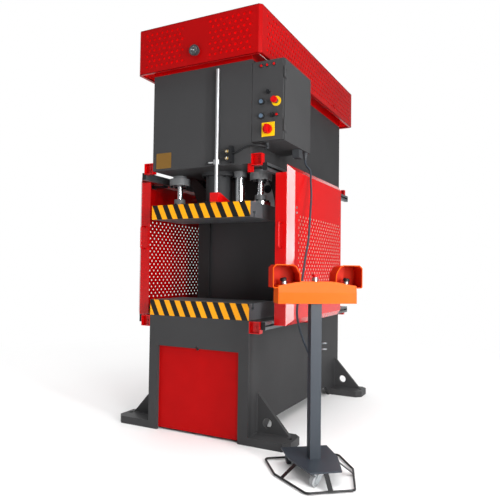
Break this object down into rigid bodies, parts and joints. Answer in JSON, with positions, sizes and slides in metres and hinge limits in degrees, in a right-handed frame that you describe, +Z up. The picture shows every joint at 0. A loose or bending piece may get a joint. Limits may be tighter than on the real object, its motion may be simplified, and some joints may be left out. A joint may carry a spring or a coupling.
{
  "type": "hydraulic press",
  "caption": "C-frame hydraulic press with a guided ram plate over a slotted table, sliding perforated side guards, a vented top cover, a control box and a two-hand control stand on castors.",
  "frame": {"origin": "middle of the four floor anchor holes, on the floor", "axes": "+Z up, -Y towards the operator's side, +X to the right of an operator's view from the front"},
  "size_m": [1.8352, 2.3961, 2.75],
  "materials": {
    "body_paint": "satin dark grey paint over welded plate",
    "red_paint": "bright red powder coat",
    "table_steel": "ground plate with amber and black edge stripes",
    "ground_steel": "turned and ground steel",
    "chrome": "hard chrome plating",
    "dark_steel": "nitrided dark steel",
    "zinc": "zinc plate",
    "black_plastic": "moulded black plastic",
    "brass": "turned brass",
    "motor_paint": "blue-grey enamel",
    "cast_grey": "cast iron, oiled",
    "gauge_case": "grey enamelled case",
    "lamp_lens": "clear moulded lens",
    "yellow_plate": "yellow moulded plate",
    "red_plastic": "red moulded plastic",
    "grey_plastic": "blue-grey moulded plastic",
    "stand_paint": "blue-grey paint",
    "black_paint": "black enamel",
    "orange_paint": "orange powder coat",
    "hood_paint": "red-orange powder coat",
    "wheel_rubber": "solid rubber tyre",
    "fitting_grey": "grey nylon",
    "cable_sheath": "rubber cable sheath"
  },
  "bodies": {
    "frame": {"side_plate_left": "body_paint", "side_plate_right": "body_paint", "base_front_plate": "body_paint", "front_panel": "red_paint", "head_front_plate": "body_paint", "head_plate": "body_paint", "jaw_plate": "body_paint", "throat_wall": "body_paint", "rear_plate": "body_paint", "top_deck": "body_paint", "feet": "body_paint", "table": "table_steel", "guide_bushes": "ground_steel", "cylinder_barrel": "dark_steel", "cylinder_gland": "dark_steel", "sensor_block": "black_plastic", "sensors": "brass", "guard_rails": "red_paint", "guard_tracks": "zinc", "plinth": "red_paint", "cover_skirt": "red_paint", "motor": "motor_paint", "pump": "cast_grey", "oil_tank": "red_paint", "valve_block": "cast_grey", "pressure_gauge": "gauge_case", "control_box": "body_paint", "stand": "stand_paint", "stand_hoop": "black_paint", "console": "orange_paint", "console_hoods": "hood_paint", "button_collars": "ground_steel", "cable_fittings": "fitting_grey", "control_cable": "cable_sheath"},
    "ram": {"ram": "table_steel", "guide_rods": "chrome", "piston_rod": "dark_steel", "stop_rod": "chrome", "trip_rod": "chrome", "trip_bracket": "red_paint"},
    "guard_left": {"guard_left": "red_paint", "guard_shoes_left": "black_plastic"},
    "guard_right": {"guard_right": "red_paint", "guard_shoes_right": "black_plastic"},
    "control_door": {"control_door": "body_paint", "pilot_lamps": "lamp_lens", "legend_plates": "yellow_plate"},
    "main_switch": {"main_switch_knob": "red_plastic"},
    "door_stop": {"door_stop_button": "red_plastic"},
    "button_upper": {"button_upper": "grey_plastic"},
    "button_lower": {"button_lower": "grey_plastic"},
    "key_switch": {"key_switch": "black_plastic"},
    "selector": {"selector": "black_plastic"},
    "palm_left": {"palm_button_left": "black_plastic"},
    "palm_right": {"palm_button_right": "black_plastic"},
    "stand_stop": {"stand_stop_button": "red_plastic"},
    "castor": {"castor_fork": "zinc"},
    "castor_wheel": {"castor_wheel": "wheel_rubber"},
    "rear_wheel_left": {"rear_wheel_left": "wheel_rubber"},
    "rear_wheel_right": {"rear_wheel_right": "wheel_rubber"}
  },
  "joints": [
    {"name": "ram_slide", "type": "slide", "parent": "frame", "child": "ram", "axis": [0, 0, 1], "range_m": [-0.35, 0.05]},
    {"name": "guard_left_slide", "type": "slide", "parent": "frame", "child": "guard_left", "axis": [0, 1, 0], "range_m": [-0.1, 0.5]},
    {"name": "guard_right_slide", "type": "slide", "parent": "frame", "child": "guard_right", "axis": [0, 1, 0], "range_m": [-0.1, 0.5]},
    {"name": "door_hinge", "type": "hinge", "parent": "frame", "child": "control_door", "pos_m": [0.612, -0.898, 2.15], "axis": [0, 0, 1], "range_deg": [0, 110]},
    {"name": "main_switch_turn", "type": "hinge", "parent": "control_door", "child": "main_switch", "pos_m": [0.503, -0.91, 1.971], "axis": [0, 1, 0], "range_deg": [0, 90]},
    {"name": "door_stop_push", "type": "slide", "parent": "control_door", "child": "door_stop", "axis": [0, 1, 0], "range_m": [0, 0.004], "stiffness_N_per_m": 600, "springref_m": -0.002},
    {"name": "button_upper_push", "type": "slide", "parent": "control_door", "child": "button_upper", "axis": [0, 1, 0], "range_m": [0, 0.004], "stiffness_N_per_m": 600, "springref_m": -0.002},
    {"name": "button_lower_push", "type": "slide", "parent": "control_door", "child": "button_lower", "axis": [0, 1, 0], "range_m": [0, 0.004], "stiffness_N_per_m": 600, "springref_m": -0.002},
    {"name": "key_turn", "type": "hinge", "parent": "control_door", "child": "key_switch", "pos_m": [0.502, -0.91, 2.207], "axis": [0, 1, 0], "range_deg": [0, 60]},
    {"name": "selector_turn", "type": "hinge", "parent": "control_door", "child": "selector", "pos_m": [0.532, -0.91, 2.059], "axis": [0, 1, 0], "range_deg": [-45, 45]},
    {"name": "palm_left_push", "type": "slide", "parent": "frame", "child": "palm_left", "axis": [0.1426, 0.1114, -0.9835], "range_m": [0, 0.004], "stiffness_N_per_m": 600, "springref_m": -0.002},
    {"name": "palm_right_push", "type": "slide", "parent": "frame", "child": "palm_right", "axis": [-0.1426, -0.1114, -0.9835], "range_m": [0, 0.004], "stiffness_N_per_m": 600, "springref_m": -0.002},
    {"name": "stand_stop_push", "type": "slide", "parent": "frame", "child": "stand_stop", "axis": [0, 0, -1], "range_m": [0, 0.004], "stiffness_N_per_m": 600, "springref_m": -0.002},
    {"name": "castor_swivel", "type": "hinge", "parent": "frame", "child": "castor", "pos_m": [0.97788, -1.24841, 0.066], "axis": [0, 0, 1], "continuous": true},
    {"name": "castor_roll", "type": "hinge", "parent": "castor", "child": "castor_wheel", "pos_m": [0.96487, -1.27765, 0.025], "axis": [0.9135, -0.4067, 0], "continuous": true},
    {"name": "rear_left_roll", "type": "hinge", "parent": "frame", "child": "rear_wheel_left", "pos_m": [0.72608, -1.04794, 0.025], "axis": [0.788, 0.6157, 0], "continuous": true},
    {"name": "rear_right_roll", "type": "hinge", "parent": "frame", "child": "rear_wheel_right", "pos_m": [0.88368, -0.92481, 0.025], "axis": [0.788, 0.6157, 0], "continuous": true}
  ]
}
